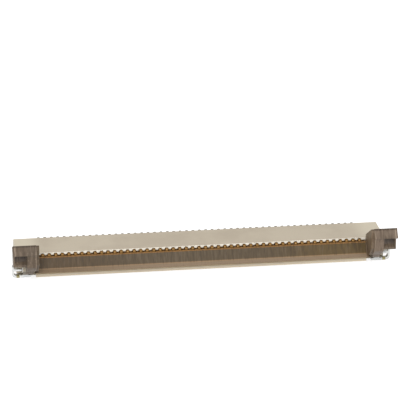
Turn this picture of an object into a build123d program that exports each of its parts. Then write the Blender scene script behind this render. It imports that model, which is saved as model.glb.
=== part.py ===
"""Right-angle flip-lock flat cable connector, 50 contacts at 0.5 mm pitch.

Millimetres. X runs along the connector, -Y is the cable mouth, +Y the solder
tails, +Z up. Z = 0 is the plane of the circuit board, X = 0 is the middle.
The actuator is drawn in its opened pose.
"""
import os

from build123d import *

os.makedirs("parts", exist_ok=True)

# Contacts and pitch
contact_count = 50
pitch = 0.5
blade = 0.2
blade_clearance = 0.01
blade_slot = blade + 2 * blade_clearance
row_half = pitch * (contact_count - 1) / 2

# Housing, seen from the side
comb_y = -0.70
roof_depth = 2.90
rear_y = comb_y + roof_depth
lip_reach = 0.44
lip_y = comb_y - lip_reach
lip_chamfer = 0.08
floor_thick = 0.30
mouth_open = 1.06
ceiling = floor_thick + mouth_open
roof_thick = 0.44
height = ceiling + roof_thick
roof_edge = 0.20
roof_slope = 0.40
back_wall = 0.70
mouth_back = rear_y - back_wall
notch_low_width = 0.34
notch_high_width = 0.18
notch_skin = 0.05
notch_depth = 0.32
beam_groove = 0.25
floor_skin = 0.08
spine_skin = 0.14

# Housing, along the row
mouth_margin = 0.53
mouth_half = row_half + mouth_margin
end_block = 1.41
end_half = mouth_half + end_block
end_setback = 0.02

# Hinge of the actuator
hinge_ahead = 0.45
hinge_drop = 0.21
hinge_y = comb_y - hinge_ahead
hinge_z = ceiling - hinge_drop
journal_radius = 0.27
journal_clearance = 0.04
bearing_radius = journal_radius + journal_clearance

# End arms that carry the journals
arm_gap = 0.54
arm_inner = mouth_half + arm_gap
bearing_depth = 0.52
arm_wall = arm_inner + bearing_depth
arm_lip = 0.09
arm_front = hinge_y - bearing_radius - arm_lip
arm_cap = 0.04
arm_top = hinge_z + bearing_radius + arm_cap
arm_chamfer = 0.22
arm_drop = 0.47
arm_bottom = hinge_z - arm_drop
arm_outer_drop = 0.13
arm_root = 0.10
ramp_level = 0.70
ramp_run = 1.95
ramp_drop = 0.17
ramp_side = 0.04

# Marks left by the mould
mark_radius = 0.20
mark_depth = 0.03
mark_x = 6.9
mark_back = 0.62
rear_mark_x = mouth_half + 0.27
rear_mark_drop = 0.38

# Actuator, along the row
ear_overhang = 0.06
ear_inner = mouth_half - ear_overhang
flank_thick = 0.22
ear_column = ear_inner + flank_thick
arm_clearance = 0.06
ear_journal_side = arm_inner - arm_clearance
toe_start = 0.12
toe_setback = 0.04
column_width = 0.72
ear_recess = ear_column + column_width
recess_width = 1.00
ear_outer = ear_recess + recess_width
rim_thick = 0.10
bar_proud = 0.06
ear_bar_outer = ear_outer + bar_proud
journal_root = 0.04
journal_end_gap = 0.06
journal_outer = arm_wall - journal_end_gap
hook_room = 0.04
web_slot = blade + 2 * hook_room

# Solder fittings
fitting_thick = 0.20
fitting_inset = 0.15
fitting_inner = arm_inner - fitting_inset
fitting_reach = 0.40
fitting_front = comb_y - fitting_reach
fitting_tuck = 0.15
fitting_pocket = 0.02
curl_gap = 0.27
curl_inner = end_half + curl_gap
curl_thick = 0.16
curl_outer = curl_inner + curl_thick
curl_radius = 0.26
curl_top = 0.95
shelf_top = 0.72
shelf_thick = 0.18
shelf_gap = 0.04
shelf_inner = arm_wall + shelf_gap
tab_clearance = 0.05
tab_side = 0.05
tab_depth = 0.24
tab_back = 0.17

# Contacts, seen from the side
tail_reach = 0.90
tail_thick = 0.14
tail_rise = 0.52
spine_proud = 0.12
spine_depth = 0.34
spine_front = rear_y - spine_depth
spine_gap = 0.02
spine_rise = 0.03
spine_inner_top = height - spine_skin - spine_gap
beam_thick = 0.22
beam_low = floor_skin + 0.04
beam_high = beam_low + 0.14
bump_top = 0.47
hook_rise = 0.12
hook_top = ceiling + beam_thick + hook_rise
hook_reach = 0.20


def lever(ahead, up):
    """Point of the actuator's side profile, measured from the hinge axis."""
    return (hinge_y - ahead, hinge_z + up)


def row(count):
    """Evenly spaced X positions, centred."""
    return [(i - (count - 1) / 2) * pitch for i in range(count)]


slots = row(contact_count)

with BuildPart() as housing:
    # Middle section with floor lip, back wall and roof
    with BuildSketch(Plane.YZ):
        with BuildLine():
            Polyline(
                (lip_y, 0.0),
                (rear_y, 0.0),
                (rear_y, height),
                (comb_y, height),
                (comb_y, height - roof_edge),
                (comb_y + roof_slope, ceiling),
                (mouth_back, ceiling),
                (mouth_back, floor_thick),
                (lip_y + lip_chamfer, floor_thick),
                (lip_y, floor_thick - lip_chamfer),
                close=True,
            )
        make_face()
    extrude(amount=mouth_half, both=True)
    for side in (-1, 1):
        # End block
        with BuildSketch(Plane.YZ.offset(side * mouth_half)):
            with BuildLine():
                Polyline(
                    (comb_y + end_setback, 0.0),
                    (rear_y, 0.0),
                    (rear_y, height),
                    (comb_y + end_setback, height),
                    close=True,
                )
            make_face()
        extrude(amount=side * end_block)
        # Arm that carries the journal, lower inside than outside
        with BuildSketch(Plane.YZ.offset(side * arm_inner)):
            with BuildLine():
                Polyline(
                    (comb_y + arm_root, arm_bottom),
                    (arm_front, arm_bottom),
                    (arm_front, arm_top - arm_chamfer),
                    (arm_front + arm_chamfer, arm_top),
                    (comb_y + arm_root, arm_top),
                    close=True,
                )
            make_face()
        extrude(amount=side * bearing_depth)
        with BuildSketch(Plane.YZ.offset(side * arm_wall)):
            with BuildLine():
                Polyline(
                    (comb_y + arm_root, hinge_z - arm_outer_drop),
                    (arm_front, hinge_z - arm_outer_drop),
                    (arm_front, arm_top - arm_chamfer),
                    (arm_front + arm_chamfer, arm_top),
                    (comb_y + arm_root, arm_top),
                    close=True,
                )
            make_face()
        extrude(amount=side * (end_half - arm_wall))
    for side in (-1, 1):
        # Bearing slot, open below
        with BuildSketch(Plane.YZ.offset(side * (arm_inner - spine_gap))):
            with Locations((hinge_y, hinge_z)):
                Circle(bearing_radius)
            with Locations((hinge_y, hinge_z / 2)):
                Rectangle(2 * bearing_radius, hinge_z)
        extrude(amount=side * (bearing_depth + spine_gap), mode=Mode.SUBTRACT)
        # Ramp channel behind it
        with BuildSketch(Plane.YZ.offset(side * (arm_inner + ramp_side))):
            with BuildLine():
                Polyline(
                    (hinge_y, -fitting_pocket),
                    (hinge_y, hinge_z - ramp_drop),
                    (comb_y + ramp_level, hinge_z - ramp_drop),
                    (comb_y + ramp_level + ramp_run, -fitting_pocket),
                    close=True,
                )
            make_face()
        extrude(amount=side * (bearing_depth - 2 * ramp_side), mode=Mode.SUBTRACT)
        # Pocket under the end block for the foot of the fitting
        with BuildSketch(Plane.XY):
            with Locations((side * (fitting_inner - fitting_pocket + end_half) / 2, comb_y)):
                Rectangle(
                    end_half - fitting_inner + fitting_pocket,
                    2 * (fitting_tuck + fitting_pocket),
                )
        extrude(amount=fitting_thick + fitting_pocket, mode=Mode.SUBTRACT)
    # Comb notches in the front edge of the roof, narrower towards the top
    with BuildSketch(Plane.XZ.offset(-comb_y)):
        for x in slots:
            with BuildLine():
                Polyline(
                    (x - notch_low_width / 2, ceiling),
                    (x - notch_low_width / 2, height - roof_edge),
                    (x - notch_high_width / 2, height - notch_skin),
                    (x + notch_high_width / 2, height - notch_skin),
                    (x + notch_low_width / 2, height - roof_edge),
                    (x + notch_low_width / 2, ceiling),
                    close=True,
                )
            make_face()
    extrude(amount=-notch_depth, mode=Mode.SUBTRACT)
    # Grooves under the roof for the upper beams
    with BuildSketch(Plane.XY.offset(ceiling)):
        with Locations([(x, (comb_y + rear_y) / 2) for x in slots]):
            Rectangle(blade_slot, roof_depth)
    extrude(amount=beam_groove, mode=Mode.SUBTRACT)
    # Grooves in the floor for the lower beams
    with BuildSketch(Plane.XY.offset(floor_skin)):
        with Locations([(x, (comb_y + hook_reach + rear_y) / 2) for x in slots]):
            Rectangle(blade_slot, roof_depth - hook_reach)
    extrude(amount=floor_thick - floor_skin, mode=Mode.SUBTRACT)
    # Back wall cut between mouth and spine, so that the beams reach the mouth
    with BuildSketch(Plane.XY.offset(floor_skin)):
        with Locations([(x, (mouth_back + spine_front) / 2) for x in slots]):
            Rectangle(blade_slot, spine_front - mouth_back)
    extrude(amount=ceiling + beam_groove - floor_skin, mode=Mode.SUBTRACT)
    # Slots through the back wall for the spines, under a thin skin of roof
    with BuildSketch(Plane.XY):
        with Locations([(x, (spine_front + rear_y) / 2) for x in slots]):
            Rectangle(blade_slot, spine_depth)
    extrude(amount=height - spine_skin, mode=Mode.SUBTRACT)
    # Round marks left by the mould, under the floor and behind the end blocks
    with BuildSketch(Plane.XY):
        with Locations((-mark_x, lip_y + mark_back), (mark_x, lip_y + mark_back)):
            Circle(mark_radius)
    extrude(amount=mark_depth, mode=Mode.SUBTRACT)
    with BuildSketch(Plane.XZ.offset(-rear_y)):
        with Locations(
            (-rear_mark_x, height - rear_mark_drop),
            (rear_mark_x, height - rear_mark_drop),
        ):
            Circle(mark_radius)
    extrude(amount=mark_depth, mode=Mode.SUBTRACT)

housing.part.label = "housing"

with BuildPart() as actuator:
    # Low cam bar between the ears, with its flange over the mouth
    with BuildSketch(Plane.YZ):
        with BuildLine():
            Polyline(
                lever(-0.17, 0.46),
                lever(-0.03, 0.42),
                lever(0.07, 0.31),
                lever(0.39, -0.35),
                lever(0.67, -0.49),
                lever(0.66, -0.55),
                lever(0.45, -0.59),
                lever(0.15, -0.49),
                lever(-0.15, -0.17),
                lever(-0.21, 0.15),
                close=True,
            )
        make_face()
    extrude(amount=ear_column, both=True)
    # Slots behind its top edge for the tips of the upper beams
    with BuildSketch(Plane.XY.offset(ceiling - hook_room - 0.08)):
        with Locations([(x, comb_y - hook_reach) for x in slots]):
            Rectangle(web_slot, 0.26)
    extrude(amount=roof_thick, mode=Mode.SUBTRACT)
    for side in (-1, 1):
        # Thin inner flank of the ear
        with BuildSketch(Plane.YZ.offset(side * ear_inner)):
            with BuildLine():
                Polyline(
                    lever(-0.31, 0.97),
                    lever(1.48, 2.11),
                    lever(1.63, 1.93),
                    lever(1.71, 0.61),
                    lever(1.17, -0.13),
                    lever(0.85, -0.25),
                    lever(0.10, -0.35),
                    lever(-0.17, -0.15),
                    lever(-0.33, 0.25),
                    close=True,
                )
            make_face()
        extrude(amount=side * flank_thick)
        # Column beside the flank, reaching back to the hinge
        with BuildSketch(Plane.YZ.offset(side * ear_column)):
            with BuildLine():
                Polyline(
                    lever(-0.31, 0.97),
                    lever(1.52, 2.16),
                    lever(1.62, 2.03),
                    lever(2.01, 1.55),
                    lever(1.93, 1.39),
                    lever(1.87, 0.47),
                    lever(1.53, 0.09),
                    lever(0.97, -0.22),
                    lever(0.85, -0.27),
                    lever(0.10, -0.35),
                    lever(-0.17, -0.15),
                    lever(-0.33, 0.25),
                    close=True,
                )
            make_face()
        extrude(amount=side * (ear_journal_side - ear_column))
        # The column goes on outward only where it clears the arm
        with BuildSketch(Plane.YZ.offset(side * ear_journal_side)):
            with BuildLine():
                Polyline(
                    lever(0.77, 1.70),
                    lever(1.52, 2.16),
                    lever(1.62, 2.03),
                    lever(2.01, 1.55),
                    lever(1.93, 1.39),
                    lever(1.87, 0.47),
                    lever(1.53, 0.09),
                    lever(1.11, -0.13),
                    lever(1.01, 0.25),
                    lever(0.71, 1.05),
                    close=True,
                )
            make_face()
        extrude(amount=side * (ear_recess - ear_journal_side))
        # Toe under the column, ahead of the arm in every pose
        with BuildSketch(Plane.YZ.offset(side * (ear_column + toe_start))):
            with BuildLine():
                Polyline(
                    lever(1.25, -0.05),
                    lever(0.97, -0.22),
                    lever(0.82, -0.43),
                    lever(0.64, -0.57),
                    lever(0.50, -0.56),
                    lever(0.52, -0.42),
                    lever(0.74, 0.05),
                    lever(1.05, 0.15),
                    close=True,
                )
            make_face()
        extrude(amount=side * (column_width - toe_start - toe_setback))
        # Back plate of the recess with its low sill
        with BuildSketch(Plane.YZ.offset(side * ear_recess)):
            with BuildLine():
                Polyline(
                    lever(0.77, 1.70),
                    lever(1.25, 1.95),
                    lever(1.37, 1.33),
                    lever(1.39, 0.81),
                    lever(1.65, 0.63),
                    lever(1.69, 0.49),
                    lever(1.21, 0.27),
                    lever(1.01, 0.25),
                    lever(0.71, 1.05),
                    close=True,
                )
            make_face()
        extrude(amount=side * recess_width)
        # Outer rim of the recess
        with BuildSketch(Plane.YZ.offset(side * (ear_outer - rim_thick))):
            with BuildLine():
                Polyline(
                    lever(1.05, 1.80),
                    lever(1.61, 1.63),
                    lever(1.69, 0.49),
                    lever(1.21, 0.27),
                    lever(1.09, 0.45),
                    close=True,
                )
            make_face()
        extrude(amount=side * rim_thick)
        # Grip bar across the top
        with BuildSketch(Plane.YZ.offset(side * ear_recess)):
            with BuildLine():
                Polyline(
                    lever(0.95, 1.81),
                    lever(1.52, 2.16),
                    lever(1.62, 2.03),
                    lever(2.01, 1.55),
                    lever(1.89, 1.43),
                    lever(1.21, 1.55),
                    close=True,
                )
            make_face()
        extrude(amount=side * (ear_bar_outer - ear_recess))
        # Journal
        with BuildSketch(Plane.YZ.offset(side * (ear_column - journal_root))):
            with Locations((hinge_y, hinge_z)):
                Circle(journal_radius)
        extrude(amount=side * (journal_outer - ear_column + journal_root))

actuator.part.label = "actuator"

# One contact at X = 0, copied along the row
with BuildPart() as contact:
    with BuildSketch(Plane.YZ.offset(-blade / 2)):
        with BuildLine():
            Polyline(
                (rear_y + tail_reach, 0.0),
                (rear_y + tail_reach, tail_thick),
                (rear_y + 0.42, tail_thick + 0.02),
                (rear_y + spine_proud + 0.06, tail_rise - 0.16),
                (rear_y + spine_proud, tail_rise),
                (rear_y + spine_proud, height + spine_rise - 0.04),
                (rear_y + spine_proud - 0.04, height + spine_rise),
                (rear_y + spine_gap, height + spine_rise),
                (rear_y + spine_gap, spine_inner_top),
                (spine_front + 0.10, spine_inner_top),
                (spine_front + spine_gap, ceiling + beam_thick),
                (comb_y + notch_depth - spine_gap, ceiling + beam_thick),
                (comb_y + notch_depth - 0.12, hook_top),
                (comb_y - hook_reach + 0.06, hook_top),
                (comb_y - hook_reach, hook_top - 0.06),
                (comb_y - hook_reach, ceiling + 0.04),
                (comb_y + 0.10, ceiling - 0.02),
                (comb_y + 0.60, ceiling + spine_gap),
                (spine_front + spine_gap, ceiling + spine_gap),
                (spine_front + spine_gap, beam_high),
                (comb_y + 1.10, beam_high),
                (comb_y + 0.62, bump_top),
                (comb_y + 0.46, bump_top),
                (comb_y + hook_reach + 0.04, beam_high),
                (comb_y + hook_reach + spine_gap, beam_low),
                (spine_front + 0.10, beam_low),
                (spine_front + 0.20, spine_gap),
                (rear_y + 0.05, spine_gap),
                (rear_y + 0.20, 0.0),
                close=True,
            )
        make_face()
    extrude(amount=blade)

contacts = []
for number, x in enumerate(slots, start=1):
    piece = Pos(x, 0, 0) * contact.part
    piece.label = f"contact_{number:02d}"
    contacts.append(piece)

with BuildPart() as fitting_right:
    # Foot and outer curl, bent from one strip
    with BuildSketch(Plane.XZ.offset(-fitting_front)):
        with BuildLine():
            Polyline(
                (fitting_inner, 0.0),
                (curl_outer - curl_radius, 0.0),
                (curl_outer - 0.3 * curl_radius, 0.3 * curl_radius),
                (curl_outer, curl_radius),
                (curl_outer, curl_top - 0.08),
                (curl_outer - 0.06, curl_top),
                (curl_inner + 0.02, curl_top - 0.03),
                (curl_inner, shelf_top),
                (shelf_inner, shelf_top),
                (shelf_inner, shelf_top - shelf_thick),
                (curl_inner, shelf_top - shelf_thick),
                (curl_inner, curl_radius + 0.06),
                (curl_inner - 0.10, fitting_thick),
                (fitting_inner, fitting_thick),
                close=True,
            )
        make_face()
    extrude(amount=-(fitting_reach - end_setback - fitting_pocket))
    # The foot goes on back under the end block
    with BuildSketch(Plane.XY):
        with Locations(((fitting_inner + end_half) / 2, comb_y)):
            Rectangle(end_half - fitting_inner, 2 * fitting_tuck)
    extrude(amount=fitting_thick)
    # Tab that holds the journal in its slot from below
    with BuildSketch(Plane.XY.offset(fitting_thick / 2)):
        with Locations(((arm_inner + arm_wall) / 2, hinge_y + tab_back)):
            Rectangle(bearing_depth - 2 * tab_side, tab_depth)
    extrude(amount=hinge_z - journal_radius - tab_clearance - fitting_thick / 2)

fitting_right.part.label = "fitting_right"
fitting_left_part = mirror(fitting_right.part, about=Plane.YZ)
fitting_left_part.label = "fitting_left"

export_step(housing.part, "parts/housing.step")
export_step(actuator.part, "parts/actuator.step")
for piece in contacts:
    export_step(piece, f"parts/{piece.label}.step")
export_step(fitting_left_part, "parts/fitting_left.step")
export_step(fitting_right.part, "parts/fitting_right.step")

for piece in (housing.part, actuator.part, contacts[0], fitting_right.part):
    box = piece.bounding_box()
    print(piece.label, box.min, box.max, round(piece.volume, 3), len(piece.solids()))
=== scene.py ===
"""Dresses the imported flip-lock cable connector for a product shot.

Lengths in the settings are in metres, as Blender has them. Named places are in millimetres
of the connector's own frame unless their name says metres, and MM turns them into metres.
"""
import math

import bmesh
import bpy
from mathutils import Matrix, Vector


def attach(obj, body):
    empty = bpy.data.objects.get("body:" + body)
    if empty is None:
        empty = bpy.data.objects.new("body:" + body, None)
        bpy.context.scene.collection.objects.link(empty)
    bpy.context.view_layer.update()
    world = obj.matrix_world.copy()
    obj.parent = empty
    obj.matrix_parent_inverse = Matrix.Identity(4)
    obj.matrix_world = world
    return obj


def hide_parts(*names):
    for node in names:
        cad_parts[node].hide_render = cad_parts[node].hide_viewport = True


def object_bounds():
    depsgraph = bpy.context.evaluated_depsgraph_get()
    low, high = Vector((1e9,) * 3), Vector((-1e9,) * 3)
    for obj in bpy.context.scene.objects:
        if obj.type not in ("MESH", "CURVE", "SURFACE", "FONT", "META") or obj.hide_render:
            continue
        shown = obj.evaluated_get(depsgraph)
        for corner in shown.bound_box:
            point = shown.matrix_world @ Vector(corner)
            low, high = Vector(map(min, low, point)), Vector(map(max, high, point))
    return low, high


bl_info = {
    "name": "Flip-lock cable connector",
    "version": (1, 0, 0),
    "blender": (4, 5, 0),
    "location": "3D View > Sidebar > Connector",
    "description": "Dresses the housing, actuator, contacts and fittings, and sets the stage",
    "category": "Object",
}

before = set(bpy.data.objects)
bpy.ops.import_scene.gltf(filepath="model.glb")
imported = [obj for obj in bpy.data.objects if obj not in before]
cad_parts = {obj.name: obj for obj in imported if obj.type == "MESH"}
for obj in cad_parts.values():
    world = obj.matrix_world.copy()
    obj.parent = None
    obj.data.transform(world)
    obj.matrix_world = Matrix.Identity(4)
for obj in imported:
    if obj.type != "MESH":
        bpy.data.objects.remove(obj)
cad_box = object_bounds()
MM = 0.001
CONTACTS = sorted(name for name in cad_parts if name.startswith("contact_"))
CONTACT_PITCH = 0.5

# Joining, rounding and smoothing the solids' faces
WELD_METRES = 1e-7
FLAT_DEGREES = 0.5
SHARP_DEGREES = 20
SMOOTH_DEGREES = 35
HOUSING_SEGMENTS = 2
ACTUATOR_SEGMENTS = 3
CONTACT_SEGMENTS = 1
FITTING_SEGMENTS = 3

# Camera solved from the photograph
COMB_EDGE_Y = -0.70
CAMERA_YAW_DEGREES = 9.6576
CAMERA_DOWN_DEGREES = 22.4562
CAMERA_ROLL_DEGREES = 1.0827
CAMERA_ASIDE = 0.141
CAMERA_BELOW = -5.1061
CAMERA_DISTANCE = 222.002
FOCAL_PIXELS = 2900
FRAME_PIXELS = 400
SENSOR_WIDTH = 36.0
CLIP_START_METRES = 0.01
CLIP_END_METRES = 10.0

# Floor and lamps
FLOOR_GAP = 0.002
FLOOR_GREY = 0.62
FLOOR_ROUGHNESS = 0.9
FLOOR_GLOW = 0.7
KEY_PLACE_METRES = (-0.07, -0.19, 0.15)
KEY_WIDTH_METRES = 0.14
FILL_PLACE_METRES = (0.14, -0.16, 0.05)
FILL_WIDTH_METRES = 0.12
FILL_SHARE = 0.3
LAMP_AIM_Z = 1.0

# Spans of the housing over which a colour fades in or out, or where it lies.
# AWAY is the distance from the middle plane, on either side of it.
HOUSING_ENDS_AWAY = (11.8, 13.4)
LIP_Y = (-0.72, -0.66)
LIP_Z = (0.30, 0.34)
LIP_RIGHT_X = (3.0, 10.0)
LIP_CHAMFER_Z = (0.22, 0.27)
COMB_FRONT_Y = (COMB_EDGE_Y, -0.66)
TOOTH_Z = (1.60, 1.79)
NOTCH_Y = (-0.66, -0.37)
NOTCH_TOP_Z = (1.755, 1.775)
MOUTH_FLOOR_Z = (0.34, 0.40)
MOUTH_ROOF_Z = (1.56, 1.62)
MOUTH_BACK_Y = (1.60, 1.70)
MOUTH_SIDES_AWAY = (12.70, 12.80)

# Spans of the actuator's cam bar; the marks are in shares of the contact pitch
BAR_ENDS_AWAY = (12.64, 12.70)
BAR_FACE_Z = (0.84, 1.54)
BAR_LEFT_X = (-10.0, -4.0)
BAR_RIGHT_X = (4.0, 10.0)
BAR_TOP_Z = (1.64, 1.66)
COMB_LINE_Z = (1.565, 1.64)
CONTACT_MARK_SHARE = (0.36, 0.47)
CONTACT_MARK_Z = (1.30, 1.54)
FLANGE_TOP_Z = (0.78, 0.84)
FLANGE_LEDGE_Z = (0.80, 0.85)
FLANGE_FOOT_Z = (0.58, 0.61)
FLANGE_LEFT_X = (-12.0, -3.0)

# Spans of the actuator's ears
LEFT_FLANK_X = (-12.92, -12.71)
LEFT_EAR_SHADE_X = (-13.72, -13.66)
RIGHT_FLANK_X = (12.70, 12.93)
RIGHT_COLUMN_X = (12.96, 13.66)
EAR_EDGE_HIGHLIGHT_AWAY = (12.95, 13.00)
EAR_RIM_HIGHLIGHT_AWAY = (14.53, 14.59)
EAR_HOLLOW_AWAY = (13.70, 14.55)
EAR_HOLLOW_Y = (-2.52, -1.60)
EAR_UPPER_Z = (2.56, 2.60)
EAR_CREST_Z = (3.16, 3.23)

# Spans of the contacts and of the solder fittings
HOOK_Y = (-0.45, -0.30)
HOOK_Z = (1.30, 1.34)
SHEARED_TOP_Z = (1.70, 1.74)
RIGHT_FITTING_X = (0.0, 1.0)
SHEARED_SPOT_AWAY = (14.06, 14.26)
SHEARED_SPOT_Y = (-0.90, -0.86)
SHEARED_SPOT_Z = (0.21, 0.25)
TAB_AWAY = (13.80, 13.86)
TAB_Z = (0.21, 0.24)

# Colours of small places, which no setting changes
BEIGE_SPECKLE = (0.42, 0.34, 0.25)
# Painted light on the housing's ends
HOUSING_END_LIGHT = (0.76, 0.69, 0.54)
# Painted light on the lip's right side and on its shaded chamfer
LIP_RIGHT_LIGHT = (0.92, 0.82, 0.64)
LIP_CHAMFER_LIGHT = (0.92, 0.72, 0.40)
# Painted shade on the bar's left end, painted light on its right end
BAR_LEFT_SHADE = (0.063, 0.032, 0.006)
BAR_RIGHT_LIGHT = (0.098, 0.058, 0.012)
# Painted reflection of the gold on the bar's top
BAR_TOP_GOLD_REFLECTION = (0.22, 0.115, 0.035)
FLANGE_LEDGE_RESIN = (0.40, 0.24, 0.105)
# Painted shade on the flange's left side
FLANGE_LEFT_SHADE = (0.150, 0.095, 0.045)
FLANGE_FOOT_RESIN = (0.32, 0.20, 0.075)
# Painted light on the right ear's flank
RIGHT_FLANK_LIGHT = (0.190, 0.122, 0.064)
# Painted shade on the ears' crests
EAR_CREST_SHADE = (0.055, 0.035, 0.022)
GOLD_CLOUDS = (0.62, 0.35, 0.09)
TIN_CLOUDS = (0.60, 0.61, 0.62)
RIGHT_TIN = (0.44, 0.45, 0.42)

# Noise of the grain and of the flow streaks
CLOUD_DETAIL = 3.0
CLOUD_ROUGHNESS = 0.6
FINE_DETAIL = 2.0
SPECKLE_IN_HEIGHT = 0.7
STREAK_STRETCH = (1.0, 0.14, 0.14)

# Levels of the noise that the finishes turn into colour and roughness
CLOUD_LEVELS = (0.35, 0.65)
ROUGH_LEVELS = (0.3, 0.7)
BEIGE_SPECKLE_LEVELS = (0.55, 0.75)
FIBRE_LEVELS = (0.56, 0.74)
DARK_STREAK_LEVELS = (0.50, 0.66)
PALE_STREAK_LEVELS = (0.34, 0.48)

# From nothing to full, for a mask that is turned into another value
WHOLE_MASK = (0.0, 1.0)

# Sockets of a Mix node that are told apart by number, because their names repeat
MIX_FACTOR = 0
MIX_BELOW = 6
MIX_ABOVE = 7
MIX_RESULT = 2


class HousingSettings(bpy.types.PropertyGroup):
    resin: bpy.props.FloatVectorProperty(
        name="Resin", description="Colour of the beige resin", subtype="COLOR",
        size=3, min=0, max=1, default=(0.515, 0.440, 0.335))
    pale_resin: bpy.props.FloatVectorProperty(
        name="Pale resin", description="Colour of its paler clouds", subtype="COLOR",
        size=3, min=0, max=1, default=(0.580, 0.505, 0.390))
    # Painted light: the lip is lighter than the resin, to make up for the shade it stands in
    lip_lit_resin: bpy.props.FloatVectorProperty(
        name="Lip resin", description="Colour of the floor lip", subtype="COLOR",
        size=3, min=0, max=1, default=(0.76, 0.66, 0.505))
    # Painted highlight on the comb's teeth
    tooth_highlight: bpy.props.FloatVectorProperty(
        name="Tooth resin", description="Colour of the comb's front edge", subtype="COLOR",
        size=3, min=0, max=1, default=(0.88, 0.83, 0.72))
    # Painted reflection of the gold inside the housing's mouth
    mouth_gold_reflection: bpy.props.FloatVectorProperty(
        name="Mouth tint", description="Warm colour inside the mouth", subtype="COLOR",
        size=3, min=0, max=1, default=(0.60, 0.33, 0.12))
    # Painted reflection of the gold in the comb's notches
    notch_gold_reflection: bpy.props.FloatVectorProperty(
        name="Notch tint", description="Warm colour of the comb's notches", subtype="COLOR",
        size=3, min=0, max=1, default=(0.92, 0.56, 0.20))
    edge: bpy.props.FloatProperty(
        name="Edge radius", description="Rounding of the moulded edges",
        subtype="DISTANCE", default=0.035 * MM, min=0.0)


class ActuatorSettings(bpy.types.PropertyGroup):
    resin: bpy.props.FloatVectorProperty(
        name="Resin", description="Colour of the dark brown resin", subtype="COLOR",
        size=3, min=0, max=1, default=(0.112, 0.080, 0.052))
    pale_resin: bpy.props.FloatVectorProperty(
        name="Pale resin", description="Colour of its paler clouds", subtype="COLOR",
        size=3, min=0, max=1, default=(0.160, 0.117, 0.082))
    # The fibre colour also draws painted highlights on the ears' edges and rims
    fibre_and_highlight: bpy.props.FloatVectorProperty(
        name="Fibre", description="Colour of the fibres in the resin", subtype="COLOR",
        size=3, min=0, max=1, default=(0.30, 0.23, 0.17))
    # Painted shade: the cam bar's face is darker than the ears' fronts
    bar_shaded_resin: bpy.props.FloatVectorProperty(
        name="Bar resin", description="Colour of the cam bar's face", subtype="COLOR",
        size=3, min=0, max=1, default=(0.088, 0.060, 0.030))
    # Painted light: the flange is paler than the bar
    flange_lit_resin: bpy.props.FloatVectorProperty(
        name="Flange resin", description="Colour of the cam bar's flange", subtype="COLOR",
        size=3, min=0, max=1, default=(0.262, 0.188, 0.122))
    streak_resin: bpy.props.FloatVectorProperty(
        name="Streak resin", description="Colour of the dark flow streaks", subtype="COLOR",
        size=3, min=0, max=1, default=(0.045, 0.028, 0.014))
    # Painted shade on the upper part of the left ear's outer end
    left_ear_shade: bpy.props.FloatVectorProperty(
        name="Left ear shade", description="Colour of the left ear's painted shade", subtype="COLOR",
        size=3, min=0, max=1, default=(0.103, 0.068, 0.040))
    # Painted light on the right ear's column
    column_lit_resin: bpy.props.FloatVectorProperty(
        name="Column resin", description="Colour of the right ear's paler column",
        subtype="COLOR", size=3, min=0, max=1, default=(0.210, 0.152, 0.110))
    # Painted shade inside the ears' recesses
    hollow_shade: bpy.props.FloatVectorProperty(
        name="Hollow resin", description="Colour inside the ears' recesses", subtype="COLOR",
        size=3, min=0, max=1, default=(0.062, 0.046, 0.037))
    # Painted reflection of the gold on the bar's top edge
    comb_gold_reflection: bpy.props.FloatVectorProperty(
        name="Gold glow", description="Warm top edge beside the contacts", subtype="COLOR",
        size=3, min=0, max=1, default=(0.255, 0.120, 0.028))
    edge: bpy.props.FloatProperty(
        name="Edge radius", description="Rounding of the moulded edges",
        subtype="DISTANCE", default=0.05 * MM, min=0.0)


class ContactSettings(bpy.types.PropertyGroup):
    gold: bpy.props.FloatVectorProperty(
        name="Gold", description="Colour of the plating", subtype="COLOR",
        size=3, min=0, max=1, default=(0.72, 0.43, 0.12))
    # Painted shade on the contacts' tips inside the comb
    hook_shade_gold: bpy.props.FloatVectorProperty(
        name="Hook gold", description="Painted shade colour of the tips in the comb",
        subtype="COLOR", size=3, min=0, max=1, default=(0.29, 0.155, 0.040))
    bare_metal: bpy.props.FloatVectorProperty(
        name="Bare metal", description="Colour of the sheared tops at the back",
        subtype="COLOR", size=3, min=0, max=1, default=(0.26, 0.24, 0.21))
    edge: bpy.props.FloatProperty(
        name="Edge radius", description="Rounding of the stamped edges",
        subtype="DISTANCE", default=0.018 * MM, min=0.0)


class FittingSettings(bpy.types.PropertyGroup):
    tin: bpy.props.FloatVectorProperty(
        name="Tin", description="Colour of the plating", subtype="COLOR",
        size=3, min=0, max=1, default=(0.76, 0.76, 0.74))
    # Painted shade on the tab under the journal
    tab_shade: bpy.props.FloatVectorProperty(
        name="Tab shade", description="Colour of the tab under the journal", subtype="COLOR",
        size=3, min=0, max=1, default=(0.22, 0.20, 0.17))
    brass: bpy.props.FloatVectorProperty(
        name="Bare brass", description="Colour where the strip was sheared",
        subtype="COLOR", size=3, min=0, max=1, default=(0.33, 0.29, 0.15))
    edge: bpy.props.FloatProperty(
        name="Edge radius", description="Rounding of the bent strip",
        subtype="DISTANCE", default=0.03 * MM, min=0.0)


class StageSettings(bpy.types.PropertyGroup):
    floor_size: bpy.props.FloatProperty(
        name="Floor size", description="Side of the pale floor",
        subtype="DISTANCE", default=1.6, min=0.1)
    key_power: bpy.props.FloatProperty(
        name="Key power", description="Power of the large lamp above",
        subtype="POWER", default=0.32, min=0.0)
    world_level: bpy.props.FloatProperty(
        name="World level", description="Strength of the soft light all round",
        default=0.62, min=0.0)


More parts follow.
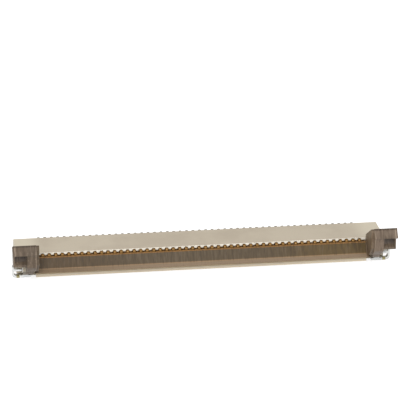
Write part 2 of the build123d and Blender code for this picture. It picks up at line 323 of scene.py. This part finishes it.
def copy_as_clean_bmesh(node):
    """The node's solid with its loose triangles joined and its flat faces whole."""
    bm = bmesh.new()
    bm.from_mesh(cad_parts[node].data)
    bmesh.ops.remove_doubles(bm, verts=bm.verts, dist=WELD_METRES)
    bmesh.ops.dissolve_limit(
        bm, angle_limit=math.radians(FLAT_DEGREES), use_dissolve_boundaries=False,
        verts=bm.verts, edges=bm.edges)
    return bm


def round_sharp_edges(bm, radius, segments):
    """Rounds each edge whose faces meet at a sharp angle."""
    limit = math.radians(SHARP_DEGREES)
    edges = [e for e in bm.edges
             if len(e.link_faces) == 2 and e.calc_face_angle(0.0) > limit]
    bmesh.ops.bevel(
        bm, geom=edges, offset=radius, offset_type="OFFSET", segments=segments,
        profile=0.5, affect="EDGES", clamp_overlap=True, material=-1)


def finish_piece(bm, name, node, body, material):
    """Makes a bmesh the piece that stands for a CAD node, its flat faces shaded flat."""
    mesh = bpy.data.meshes.new(name)
    bm.to_mesh(mesh)
    bm.free()
    mesh.materials.append(material)
    piece = bpy.data.objects.new(name, mesh)
    bpy.context.scene.collection.objects.link(piece)
    for face in mesh.polygons:
        face.use_smooth = True
    mesh.set_sharp_from_angle(angle=math.radians(SMOOTH_DEGREES))
    shading = piece.modifiers.new("Flat faces", "WEIGHTED_NORMAL")
    shading.keep_sharp = True
    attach(piece, body)
    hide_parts(node)
    return piece


def new_material(name):
    """A node material holding one Principled shader."""
    material = bpy.data.materials.new(name)
    material.use_nodes = True
    return material


def new_group(name, inputs, outputs):
    """A shader node group with named number sockets, and the nodes at its two ends."""
    tree = bpy.data.node_groups.new(name, "ShaderNodeTree")
    for socket, value in inputs.items():
        made = tree.interface.new_socket(
            name=socket, in_out="INPUT", socket_type="NodeSocketFloat")
        made.default_value = value
    for socket in outputs:
        tree.interface.new_socket(name=socket, in_out="OUTPUT", socket_type="NodeSocketFloat")
    return tree, tree.nodes.new("NodeGroupInput"), tree.nodes.new("NodeGroupOutput")


def grain_group():
    """Moulded grain: soft clouds, fine speckle and a matching height."""
    if "Moulded grain" in bpy.data.node_groups:
        return bpy.data.node_groups["Moulded grain"]
    tree, inputs, outputs = new_group(
        "Moulded grain", {"Cloud scale": 300.0, "Speckle scale": 9000.0},
        ("Clouds", "Speckle", "Height"))
    nodes, links = tree.nodes, tree.links
    place = nodes.new("ShaderNodeTexCoord")
    clouds = nodes.new("ShaderNodeTexNoise")
    clouds.inputs["Detail"].default_value = CLOUD_DETAIL
    clouds.inputs["Roughness"].default_value = CLOUD_ROUGHNESS
    speckle = nodes.new("ShaderNodeTexNoise")
    speckle.inputs["Detail"].default_value = FINE_DETAIL
    height = nodes.new("ShaderNodeMath")
    height.operation = "MULTIPLY_ADD"
    height.inputs[1].default_value = SPECKLE_IN_HEIGHT
    links.new(place.outputs["Object"], clouds.inputs["Vector"])
    links.new(place.outputs["Object"], speckle.inputs["Vector"])
    links.new(inputs.outputs["Cloud scale"], clouds.inputs["Scale"])
    links.new(inputs.outputs["Speckle scale"], speckle.inputs["Scale"])
    links.new(speckle.outputs["Fac"], height.inputs[0])
    links.new(clouds.outputs["Fac"], height.inputs[2])
    links.new(clouds.outputs["Fac"], outputs.inputs["Clouds"])
    links.new(speckle.outputs["Fac"], outputs.inputs["Speckle"])
    links.new(height.outputs[0], outputs.inputs["Height"])
    return tree


def streak_group():
    """Flow streaks that run up and down the moulding, fine across it."""
    if "Flow streaks" in bpy.data.node_groups:
        return bpy.data.node_groups["Flow streaks"]
    tree, inputs, outputs = new_group("Flow streaks", {"Across scale": 5000.0}, ("Streaks",))
    nodes, links = tree.nodes, tree.links
    place = nodes.new("ShaderNodeTexCoord")
    draw = nodes.new("ShaderNodeVectorMath")
    draw.operation = "MULTIPLY"
    draw.inputs[1].default_value = STREAK_STRETCH
    streaks = nodes.new("ShaderNodeTexNoise")
    streaks.inputs["Detail"].default_value = FINE_DETAIL
    links.new(place.outputs["Object"], draw.inputs[0])
    links.new(draw.outputs["Vector"], streaks.inputs["Vector"])
    links.new(inputs.outputs["Across scale"], streaks.inputs["Scale"])
    links.new(streaks.outputs["Fac"], outputs.inputs["Streaks"])
    return tree


class NodeBench:
    """Puts small nodes on a tree; a value may be a socket or a plain number."""

    def __init__(self, tree):
        self.nodes = tree.nodes
        self.links = tree.links

    def feed(self, socket, value):
        """Links the socket to another, or sets it where the value is plain."""
        if isinstance(value, bpy.types.NodeSocket):
            self.links.new(value, socket)
        else:
            socket.default_value = value

    def arithmetic(self, operation, first, second=0.0):
        """One step of arithmetic on one or two values."""
        node = self.nodes.new("ShaderNodeMath")
        node.operation = operation
        self.feed(node.inputs[0], first)
        self.feed(node.inputs[1], second)
        return node.outputs[0]

    def remap(self, source, span, begin=0.0, end=1.0, smooth=True):
        """Goes from begin to end as the source crosses the span, and stays there."""
        node = self.nodes.new("ShaderNodeMapRange")
        node.interpolation_type = "SMOOTHSTEP" if smooth else "LINEAR"
        node.inputs["From Min"].default_value = span[0]
        node.inputs["From Max"].default_value = span[1]
        node.inputs["To Min"].default_value = begin
        node.inputs["To Max"].default_value = end
        self.links.new(source, node.inputs["Value"])
        return node.outputs["Result"]

    def place_group(self, tree, values):
        """A node group's node, with its named inputs set."""
        node = self.nodes.new("ShaderNodeGroup")
        node.node_tree = tree
        for name, value in values.items():
            node.inputs[name].default_value = value
        return node


class Finish(NodeBench):
    """A material that starts as clouds of two colours and takes further ones in layers.

    Its masks read the piece's own coordinates, over spans in millimetres.
    """

    def __init__(self, name, cloud_scale, speckle_scale, colour, cloud_colour):
        self.material = new_material(name)
        super().__init__(self.material.node_tree)
        self.shader = self.nodes["Principled BSDF"]
        self.grain = self.place_group(
            grain_group(), {"Cloud scale": cloud_scale, "Speckle scale": speckle_scale})
        place = self.nodes.new("ShaderNodeTexCoord")
        axes = self.nodes.new("ShaderNodeSeparateXYZ")
        self.links.new(place.outputs["Object"], axes.inputs[0])
        self.x, self.y, self.z = axes.outputs
        self.colour = (*colour, 1.0)
        self.lay(cloud_colour, self.remap(self.grain.outputs["Clouds"], CLOUD_LEVELS))

    def aside(self):
        """Distance from the middle plane, the same on both sides."""
        return self.arithmetic("ABSOLUTE", self.x)

    def past(self, axis, span, strength=1.0):
        """Nothing before the span and full past it."""
        return self.remap(axis, (span[0] * MM, span[1] * MM), 0.0, strength)

    def before(self, axis, span, strength=1.0):
        """Full before the span and nothing past it."""
        return self.remap(axis, (span[0] * MM, span[1] * MM), strength, 0.0)

    def between(self, axis, span, blur, strength=1.0):
        """Full inside the span, fading to nothing over the blur outside it."""
        low, high = span
        rise = self.past(axis, (low - blur, low), strength)
        fall = self.before(axis, (high, high + blur))
        return self.overlap(rise, fall)

    def overlap(self, *masks):
        """What all the masks leave when they lie over each other."""
        result = masks[0]
        for mask in masks[1:]:
            result = self.arithmetic("MULTIPLY", result, mask)
        return result

    def lay(self, colour, *masks):
        """Lays a colour over the ones so far, where the masks overlap."""
        mix = self.nodes.new("ShaderNodeMix")
        mix.data_type = "RGBA"
        self.links.new(self.overlap(*masks), mix.inputs[MIX_FACTOR])
        self.feed(mix.inputs[MIX_BELOW], self.colour)
        mix.inputs[MIX_ABOVE].default_value = (*colour, 1.0)
        self.colour = mix.outputs[MIX_RESULT]

    def close(self, rough_from, roughness, relief, relief_depth):
        """Feeds the shader its colour, a roughness range and the grain's relief."""
        self.links.new(self.colour, self.shader.inputs["Base Color"])
        rough = self.remap(self.grain.outputs[rough_from], ROUGH_LEVELS, *roughness)
        self.links.new(rough, self.shader.inputs["Roughness"])
        bump = self.nodes.new("ShaderNodeBump")
        bump.inputs["Strength"].default_value = relief
        bump.inputs["Distance"].default_value = relief_depth * MM
        self.links.new(self.grain.outputs["Height"], bump.inputs["Height"])
        self.links.new(bump.outputs["Normal"], self.shader.inputs["Normal"])
        return self.material


def beige_resin(settings):
    """Beige moulding, paler with painted light at its ends, on its floor lip and on its comb."""
    finish = Finish("beige_resin", cloud_scale=260.0, speckle_scale=7000.0,
                    colour=settings.resin, cloud_colour=settings.pale_resin)
    finish.shader.inputs["Specular IOR Level"].default_value = 0.4
    speckle = finish.grain.outputs["Speckle"]
    finish.lay(BEIGE_SPECKLE, finish.remap(speckle, BEIGE_SPECKLE_LEVELS, end=0.10))
    away = finish.aside()
    # Painted light: the housing turns paler towards its ends
    finish.lay(HOUSING_END_LIGHT, finish.past(away, HOUSING_ENDS_AWAY, strength=0.55))
    lay_lip(finish, settings)
    lay_comb_and_mouth(finish, settings, away)
    return finish.close(
        rough_from="Clouds", roughness=(0.46, 0.58), relief=0.25, relief_depth=0.006)


def lay_lip(finish, settings):
    """Painted light on the floor lip, brighter still to the right and warmer on its chamfer."""
    lip = finish.overlap(finish.before(finish.y, LIP_Y), finish.before(finish.z, LIP_Z))
    # Painted light on the lip, more to the right, and warmer on its shaded chamfer
    finish.lay(settings.lip_lit_resin, lip)
    finish.lay(LIP_RIGHT_LIGHT, finish.past(finish.x, LIP_RIGHT_X, strength=0.4), lip)
    finish.lay(LIP_CHAMFER_LIGHT, finish.past(finish.z, LIP_CHAMFER_Z, strength=0.7), lip)


def lay_comb_and_mouth(finish, settings, away):
    """Painted highlight on the teeth, and the gold's painted reflection inside the mouth and the
    notches.
    """
    # Painted highlight on the teeth along the comb's front edge
    finish.lay(settings.tooth_highlight, finish.between(finish.z, TOOTH_Z, blur=0.01),
               finish.before(finish.y, COMB_FRONT_Y))
    over_floor = finish.past(finish.z, MOUTH_FLOOR_Z)
    middle = finish.before(away, MOUTH_SIDES_AWAY)
    # Painted reflection of the gold's warm light inside the mouth
    finish.lay(settings.mouth_gold_reflection, finish.before(finish.z, MOUTH_ROOF_Z), over_floor, middle,
               finish.before(finish.y, MOUTH_BACK_Y))
    # Painted reflection of the gold in the notches
    finish.lay(settings.notch_gold_reflection, finish.between(finish.y, NOTCH_Y, blur=0.01),
               finish.before(finish.z, NOTCH_TOP_Z), over_floor, middle)


def brown_resin(settings):
    """Dark brown moulding with fibres and flow streaks, with painted light and shade on its bar
    and ears.
    """
    finish = Finish("brown_resin", cloud_scale=420.0, speckle_scale=8000.0,
                    colour=settings.resin, cloud_colour=settings.pale_resin)
    finish.shader.inputs["Specular IOR Level"].default_value = 0.36
    speckle = finish.grain.outputs["Speckle"]
    finish.lay(settings.fibre_and_highlight, finish.remap(speckle, FIBRE_LEVELS, end=0.45))
    away = finish.aside()
    middle = finish.before(away, BAR_ENDS_AWAY)
    flange = finish.overlap(finish.before(finish.z, FLANGE_TOP_Z), middle)
    lay_bar(finish, settings, middle)
    lay_flange(finish, settings, middle, flange)
    lay_bar_top(finish, settings, middle)
    lay_ears(finish, settings, away)
    lay_streaks(finish, settings, middle, flange)
    return finish.close(
        rough_from="Clouds", roughness=(0.40, 0.52), relief=0.3, relief_depth=0.008)


def lay_bar(finish, settings, middle):
    """The cam bar's face in painted shade, browner towards both ends, with painted shade to the
    left and painted light to the right, and a dark mark at each contact.
    """
    face = finish.overlap(finish.between(finish.z, BAR_FACE_Z, blur=0.03), middle)
    # Painted shade on the cam bar's face
    finish.lay(settings.bar_shaded_resin, face)
    # Painted light to the right of the bar and painted shade to its left
    finish.lay(BAR_RIGHT_LIGHT, finish.past(finish.x, BAR_RIGHT_X, strength=0.8), face)
    finish.lay(BAR_LEFT_SHADE, finish.before(finish.x, BAR_LEFT_X, strength=0.6), face)
    pitches = finish.arithmetic("MULTIPLY", finish.x, 1.0 / (CONTACT_PITCH * MM))
    share = finish.arithmetic("PINGPONG", pitches, 0.5)
    finish.lay(settings.streak_resin, finish.remap(share, CONTACT_MARK_SHARE, end=0.5),
               finish.between(finish.z, CONTACT_MARK_Z, blur=0.25), middle)


def lay_flange(finish, settings, middle, flange):
    """Painted light on the flange under the bar and painted shade on its left side, with its
    ledge and warm foot.
    """
    # Painted light on the flange
    finish.lay(settings.flange_lit_resin, flange)
    ledge = finish.between(finish.z, FLANGE_LEDGE_Z, blur=0.02, strength=0.4)
    finish.lay(FLANGE_LEDGE_RESIN, ledge, middle)
    # Painted shade on the flange's left side
    finish.lay(FLANGE_LEFT_SHADE, finish.before(finish.x, FLANGE_LEFT_X, strength=0.5), flange)
    finish.lay(FLANGE_FOOT_RESIN, finish.before(finish.z, FLANGE_FOOT_Z, strength=0.6), middle)


def lay_bar_top(finish, settings, middle):
    """The gold's painted reflection on the bar, up to the comb and over it."""
    # Painted reflection of the gold on the bar beside the comb and on its top
    finish.lay(settings.comb_gold_reflection, finish.between(finish.z, COMB_LINE_Z, blur=0.02), middle)
    finish.lay(BAR_TOP_GOLD_REFLECTION, finish.past(finish.z, BAR_TOP_Z, strength=0.8), middle)


def lay_ears(finish, settings, away):
    """Painted light and shade on the ears: shade on the left flank, the left ear's upper end,
    the crests and the recesses; light on the right flank and column; highlights on edges and
    rims.
    """
    x, y, z = finish.x, finish.y, finish.z
    # Painted shade on the left flank, in the bar's shaded colour
    finish.lay(settings.bar_shaded_resin, finish.between(x, LEFT_FLANK_X, blur=0.02, strength=0.45))
    # Painted light on the right ear's column and flank
    finish.lay(settings.column_lit_resin, finish.between(x, RIGHT_COLUMN_X, blur=0.03, strength=0.5))
    finish.lay(RIGHT_FLANK_LIGHT, finish.between(x, RIGHT_FLANK_X, blur=0.03, strength=0.45))
    # Painted highlight where the flanks meet the column
    finish.lay(settings.fibre_and_highlight, finish.between(away, EAR_EDGE_HIGHLIGHT_AWAY, blur=0.02, strength=0.4))
    upper_ear = finish.past(z, EAR_UPPER_Z)
    # Painted shade on the upper part of the left ear's outer end
    finish.lay(settings.left_ear_shade, finish.before(x, LEFT_EAR_SHADE_X, strength=0.5), upper_ear)
    # Painted highlight on the ears' rims
    finish.lay(settings.fibre_and_highlight, finish.between(away, EAR_RIM_HIGHLIGHT_AWAY, blur=0.02), upper_ear)
    # Painted shade along the ears' crests
    finish.lay(EAR_CREST_SHADE, finish.past(z, EAR_CREST_Z, strength=0.8))
    # Painted shade inside the ears' recesses
    finish.lay(settings.hollow_shade, finish.between(away, EAR_HOLLOW_AWAY, blur=0.03),
               finish.between(y, EAR_HOLLOW_Y, blur=0.04))


def lay_streaks(finish, settings, middle, flange):
    """Flow streaks, the dark ones weaker on the flange and the pale ones on the bar."""
    node = finish.place_group(streak_group(), {"Across scale": 8500.0})
    streaks = node.outputs["Streaks"]
    finish.lay(settings.streak_resin, finish.remap(streaks, DARK_STREAK_LEVELS, end=0.42),
               finish.remap(flange, WHOLE_MASK, begin=1.0, end=0.3, smooth=False))
    finish.lay(settings.fibre_and_highlight, finish.remap(streaks, PALE_STREAK_LEVELS, begin=0.22, end=0.0),
               finish.remap(middle, WHOLE_MASK, begin=1.0, end=0.45))


def gold_plate(settings):
    """Gold plating, in painted shade on the hooks and bare on the sheared tops."""
    finish = Finish("gold_plate", cloud_scale=900.0, speckle_scale=12000.0,
                    colour=settings.gold, cloud_colour=GOLD_CLOUDS)
    hook = finish.overlap(finish.before(finish.y, HOOK_Y), finish.past(finish.z, HOOK_Z))
    # Painted shade on the hooks, which are also less metallic
    finish.lay(settings.hook_shade_gold, hook)
    metal = finish.remap(hook, WHOLE_MASK, begin=1.0, end=0.35, smooth=False)
    finish.links.new(metal, finish.shader.inputs["Metallic"])
    finish.lay(settings.bare_metal, finish.past(finish.z, SHEARED_TOP_Z))
    return finish.close(
        rough_from="Speckle", roughness=(0.24, 0.38), relief=0.2, relief_depth=0.003)


def tin_plate(settings):
    """Tin plating, duller on the right fitting, in painted shade on the tabs, brassy where it
    was sheared.
    """
    finish = Finish("tin_plate", cloud_scale=1400.0, speckle_scale=12000.0,
                    colour=settings.tin, cloud_colour=TIN_CLOUDS)
    finish.shader.inputs["Metallic"].default_value = 1.0
    away = finish.aside()
    finish.lay(RIGHT_TIN, finish.past(finish.x, RIGHT_FITTING_X, strength=0.45))
    finish.lay(settings.brass, finish.between(away, SHEARED_SPOT_AWAY, blur=0.04),
               finish.before(finish.y, SHEARED_SPOT_Y), finish.before(finish.z, SHEARED_SPOT_Z))
    # Painted shade on the tab under the journal
    finish.lay(settings.tab_shade, finish.before(away, TAB_AWAY), finish.past(finish.z, TAB_Z))
    return finish.close(
        rough_from="Clouds", roughness=(0.36, 0.48), relief=0.25, relief_depth=0.004)


class CONNECTOR_OT_housing(bpy.types.Operator):
    """Dress the beige housing"""
    bl_idname = "connector.housing"
    bl_label = "Housing"

    def execute(self, context):
        settings = context.scene.connector_housing
        bm = copy_as_clean_bmesh("housing")
        round_sharp_edges(bm, settings.edge, HOUSING_SEGMENTS)
        piece = finish_piece(bm, "housing_moulding", "housing", "connector",
                             beige_resin(settings))
        return {"FINISHED"}


class CONNECTOR_OT_actuator(bpy.types.Operator):
    """Dress the flip-up actuator"""
    bl_idname = "connector.actuator"
    bl_label = "Actuator"

    def execute(self, context):
        settings = context.scene.connector_actuator
        bm = copy_as_clean_bmesh("actuator")
        round_sharp_edges(bm, settings.edge, ACTUATOR_SEGMENTS)
        piece = finish_piece(bm, "actuator_moulding", "actuator", "lock",
                             brown_resin(settings))
        return {"FINISHED"}


class CONNECTOR_OT_contacts(bpy.types.Operator):
    """Dress the row of contacts"""
    bl_idname = "connector.contacts"
    bl_label = "Contacts"

    def execute(self, context):
        settings = context.scene.connector_contacts
        material = gold_plate(settings)
        for node in CONTACTS:
            bm = copy_as_clean_bmesh(node)
            round_sharp_edges(bm, settings.edge, CONTACT_SEGMENTS)
            piece = finish_piece(bm, node + "_blade", node, "connector", material)
        return {"FINISHED"}


class CONNECTOR_OT_fittings(bpy.types.Operator):
    """Dress the two solder fittings"""
    bl_idname = "connector.fittings"
    bl_label = "Solder fittings"

    def execute(self, context):
        settings = context.scene.connector_fittings
        material = tin_plate(settings)
        for node in ("fitting_left", "fitting_right"):
            bm = copy_as_clean_bmesh(node)
            round_sharp_edges(bm, settings.edge, FITTING_SEGMENTS)
            piece = finish_piece(bm, node + "_strip", node, "connector", material)
        return {"FINISHED"}


class CONNECTOR_OT_stage(bpy.types.Operator):
    """Set the pale floor, the soft light and the camera"""
    bl_idname = "connector.stage"
    bl_label = "Stage"

    def execute(self, context):
        settings = context.scene.connector_stage
        scene = context.scene
        bm = bmesh.new()
        bmesh.ops.create_grid(bm, x_segments=1, y_segments=1, size=settings.floor_size / 2)
        bmesh.ops.translate(bm, verts=bm.verts, vec=(0, 0, cad_box[0][2] - FLOOR_GAP * MM))
        mesh = bpy.data.meshes.new("floor")
        bm.to_mesh(mesh)
        bm.free()
        floor = bpy.data.objects.new("floor", mesh)
        scene.collection.objects.link(floor)
        mesh.materials.append(pale_floor())
        set_world(scene, settings.world_level)
        add_lamp(scene, "key_lamp", KEY_PLACE_METRES, KEY_WIDTH_METRES, settings.key_power)
        add_lamp(scene, "fill_lamp", FILL_PLACE_METRES, FILL_WIDTH_METRES,
                 settings.key_power * FILL_SHARE)
        scene.camera = add_camera(scene)
        scene.view_settings.view_transform = "Standard"
        return {"FINISHED"}


def pale_floor():
    """White to the camera and to reflections, and it still takes a soft shadow."""
    material = new_material("pale_floor")
    bench = NodeBench(material.node_tree)
    shader = bench.nodes["Principled BSDF"]
    shader.inputs["Base Color"].default_value = (FLOOR_GREY, FLOOR_GREY, FLOOR_GREY, 1)
    shader.inputs["Roughness"].default_value = FLOOR_ROUGHNESS
    path = bench.nodes.new("ShaderNodeLightPath")
    seen = bench.arithmetic(
        "MAXIMUM", path.outputs["Is Camera Ray"], path.outputs["Is Glossy Ray"])
    seen = bench.arithmetic("MAXIMUM", seen, path.outputs["Is Transmission Ray"])
    glow = bench.arithmetic("MULTIPLY", seen, FLOOR_GLOW)
    shader.inputs["Emission Color"].default_value = (1, 1, 1, 1)
    bench.links.new(glow, shader.inputs["Emission Strength"])
    return material


def set_world(scene, level):
    """Even light all round, at full strength where the camera sees it."""
    world = bpy.data.worlds.new("soft_room")
    scene.world = world
    world.use_nodes = True
    bench = NodeBench(world.node_tree)
    background = bench.nodes["Background"]
    background.inputs["Color"].default_value = (1, 1, 1, 1)
    path = bench.nodes.new("ShaderNodeLightPath")
    seen = bench.arithmetic(
        "MAXIMUM", path.outputs["Is Camera Ray"], path.outputs["Is Transmission Ray"])
    strength = bench.remap(seen, WHOLE_MASK, begin=level, end=1.0, smooth=False)
    bench.links.new(strength, background.inputs["Strength"])


def add_lamp(scene, name, place, width, power):
    """A round lamp that points at the comb's front edge."""
    lamp = bpy.data.lights.new(name, "AREA")
    lamp.shape = "DISK"
    lamp.size = width
    lamp.energy = power
    holder = bpy.data.objects.new(name, lamp)
    target = Vector((0, COMB_EDGE_Y * MM, LAMP_AIM_Z * MM))
    aim = (target - Vector(place)).normalized()
    holder.matrix_world = (Matrix.Translation(place)
                           @ aim.to_track_quat("-Z", "Y").to_matrix().to_4x4())
    scene.collection.objects.link(holder)


def add_camera(scene):
    """The camera that the photograph was solved for."""
    yaw = math.radians(CAMERA_YAW_DEGREES)
    down = math.radians(CAMERA_DOWN_DEGREES)
    roll = math.radians(CAMERA_ROLL_DEGREES)
    ahead = Vector((math.sin(yaw) * math.cos(down), math.cos(yaw) * math.cos(down),
                    -math.sin(down)))
    right = Vector((math.cos(yaw), -math.sin(yaw), 0))
    up = right.cross(ahead)
    right, up = (right * math.cos(roll) + up * math.sin(roll),
                 up * math.cos(roll) - right * math.sin(roll))
    place = -CAMERA_ASIDE * right - CAMERA_BELOW * up - CAMERA_DISTANCE * ahead
    place += Vector((0, COMB_EDGE_Y, 0))
    camera = bpy.data.cameras.new("camera")
    camera.sensor_width = SENSOR_WIDTH
    camera.sensor_fit = "HORIZONTAL"
    camera.lens = FOCAL_PIXELS / FRAME_PIXELS * SENSOR_WIDTH
    camera.clip_start = CLIP_START_METRES
    camera.clip_end = CLIP_END_METRES
    holder = bpy.data.objects.new("camera", camera)
    turn = Matrix((right, up, -ahead)).transposed()
    holder.matrix_world = Matrix.Translation(place * MM) @ turn.to_4x4()
    scene.collection.objects.link(holder)
    return holder


class CONNECTOR_PT_panel(bpy.types.Panel):
    """Lists the connector's pieces"""
    bl_label = "Connector"
    bl_idname = "CONNECTOR_PT_panel"
    bl_space_type = "VIEW_3D"
    bl_region_type = "UI"
    bl_category = "Connector"

    def draw(self, context):
        for operator, settings in PIECES:
            box = self.layout.box()
            box.operator(operator.bl_idname)
            group = getattr(context.scene, settings)
            for name in group.bl_rna.properties.keys():
                if name not in ("rna_type", "name"):
                    box.prop(group, name)


SETTINGS = (
    ("connector_housing", HousingSettings),
    ("connector_actuator", ActuatorSettings),
    ("connector_contacts", ContactSettings),
    ("connector_fittings", FittingSettings),
    ("connector_stage", StageSettings),
)
PIECES = (
    (CONNECTOR_OT_housing, "connector_housing"),
    (CONNECTOR_OT_actuator, "connector_actuator"),
    (CONNECTOR_OT_contacts, "connector_contacts"),
    (CONNECTOR_OT_fittings, "connector_fittings"),
    (CONNECTOR_OT_stage, "connector_stage"),
)


def register():
    for name, group in SETTINGS:
        bpy.utils.register_class(group)
        setattr(bpy.types.Scene, name, bpy.props.PointerProperty(type=group))
    for operator, _ in PIECES:
        bpy.utils.register_class(operator)
    bpy.utils.register_class(CONNECTOR_PT_panel)


def unregister():
    bpy.utils.unregister_class(CONNECTOR_PT_panel)
    for operator, _ in reversed(PIECES):
        bpy.utils.unregister_class(operator)
    for name, group in reversed(SETTINGS):
        delattr(bpy.types.Scene, name)
        bpy.utils.unregister_class(group)


def main():
    """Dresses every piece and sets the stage."""
    register()
    bpy.ops.connector.housing()
    bpy.ops.connector.actuator()
    bpy.ops.connector.contacts()
    bpy.ops.connector.fittings()
    bpy.ops.connector.stage()


if __name__ == "__main__":
    main()
